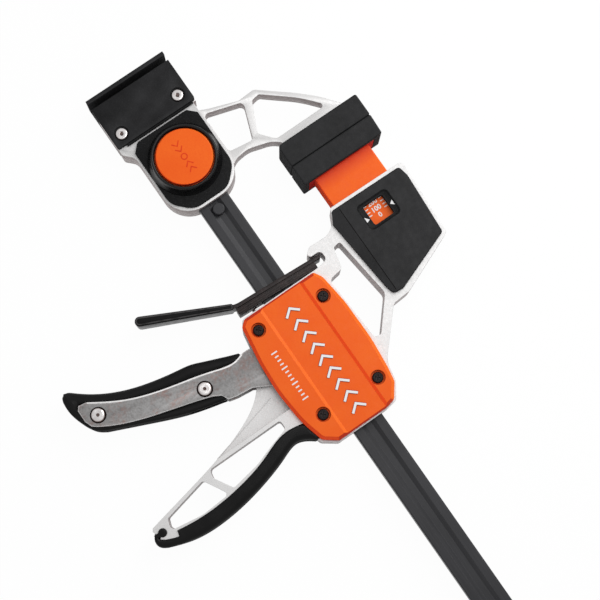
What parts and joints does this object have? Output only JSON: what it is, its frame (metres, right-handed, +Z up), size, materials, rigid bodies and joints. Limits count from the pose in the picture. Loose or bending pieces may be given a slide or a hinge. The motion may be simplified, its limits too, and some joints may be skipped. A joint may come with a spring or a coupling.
{
  "type": "quick release bar clamp",
  "caption": "One-handed trigger bar clamp with a fixed jaw at the bar's end, a sliding jaw with a force gauge, a release lever and rubber pads.",
  "frame": {"origin": "on the rear orange cover's middle band, below the bar's centre line, halfway along the orange body; the clamp lies on its side on the plane Z = 0", "axes": "+X along the bar from the fixed jaw to the tail, +Y from the handles to the jaws, +Z up through the thickness, towards the button and the gauge"},
  "size_m": [0.4005, 0.2223, 0.0295],
  "materials": {
    "black_steel": "satin black oxide",
    "casting": "satin silver paint on a die casting",
    "black_plastic": "matte, finely textured",
    "orange_plastic": "satin",
    "black_rubber": "matte",
    "black_vinyl": "glossy dip",
    "galvanised_steel": "mottled zinc",
    "bright_steel": "polished",
    "black_screw": "black zinc",
    "spring_steel": "plain wire"
  },
  "bodies": {
    "bar_and_fixed_jaw": {"bar": "black_steel", "stop_pins": "black_steel", "fixed_jaw": "casting", "head_cover": "black_plastic", "head_back_cover": "black_plastic", "head_cover_screws": "black_screw", "connector": "black_plastic", "connector_screws": "bright_steel", "fixed_pad": "black_rubber", "button_spring": "spring_steel"},
    "button": {"release_button": "orange_plastic", "lock_pin": "galvanised_steel"},
    "carriage": {"frame": "casting", "front_cover": "orange_plastic", "rear_cover": "orange_plastic", "cover_screws": "black_screw", "gauge_cover": "black_plastic", "gauge_back_cover": "black_plastic", "handle_grip": "black_rubber", "trigger_pivot": "galvanised_steel", "drive_spring": "spring_steel", "brake_spring": "spring_steel", "force_springs": "spring_steel"},
    "trigger": {"trigger_plate_front": "galvanised_steel", "trigger_plate_rear": "galvanised_steel", "trigger_grip": "black_rubber", "trigger_rivets": "bright_steel", "drive_roller": "galvanised_steel"},
    "drive_plates": {"drive_plate_1": "galvanised_steel", "drive_plate_2": "galvanised_steel"},
    "lever": {"release_lever": "black_steel", "lever_sleeve": "black_vinyl"},
    "brake_plates": {"brake_plate_1": "black_steel", "brake_plate_2": "black_steel", "brake_plate_3": "black_steel"},
    "plunger_and_pad": {"plunger": "orange_plastic", "moving_pad": "black_rubber"}
  },
  "joints": [
    {"name": "jaw_slide", "type": "slide", "parent": "bar_and_fixed_jaw", "child": "carriage", "axis": [1, 0, 0], "range_m": [0, 0.152]},
    {"name": "trigger_squeeze", "type": "hinge", "parent": "carriage", "child": "trigger", "pos_m": [-0.004, 0.0195, 0.0125], "axis": [0, 0, 1], "range_deg": [0, 16], "stiffness_Nm_per_rad": 1.5, "springref_deg": -8.59},
    {"name": "drive_slide", "type": "slide", "parent": "carriage", "child": "drive_plates", "axis": [1, 0, 0], "range_m": [0, 0.0092], "deforming": ["drive_spring"]},
    {"name": "lever_pull", "type": "hinge", "parent": "carriage", "child": "lever", "pos_m": [-0.04615, 0.029, 0.0125], "axis": [0, 0, 1], "range_deg": [0, 3.2], "stiffness_Nm_per_rad": 3, "springref_deg": -2.86},
    {"name": "brake_tilt", "type": "hinge", "parent": "carriage", "child": "brake_plates", "pos_m": [-0.04615, 0.029, 0.0125], "axis": [0, 0, 1], "range_deg": [0, 3], "deforming": ["brake_spring"]},
    {"name": "gauge_slide", "type": "slide", "parent": "carriage", "child": "plunger_and_pad", "axis": [1, 0, 0], "range_m": [0, 0.006], "stiffness_N_per_m": 3000, "springref_m": -0.002, "deforming": ["force_springs"]},
    {"name": "button_press", "type": "slide", "parent": "bar_and_fixed_jaw", "child": "button", "axis": [0, 0, -1], "range_m": [0, 0.003], "stiffness_N_per_m": 800, "springref_m": -0.002, "deforming": ["button_spring"]}
  ],
  "couplings": [
    {"joint": "drive_slide", "follows": "trigger_squeeze", "m_per_rad": 0.0325},
    {"joint": "brake_tilt", "follows": "lever_pull", "ratio": 0.9375}
  ]
}
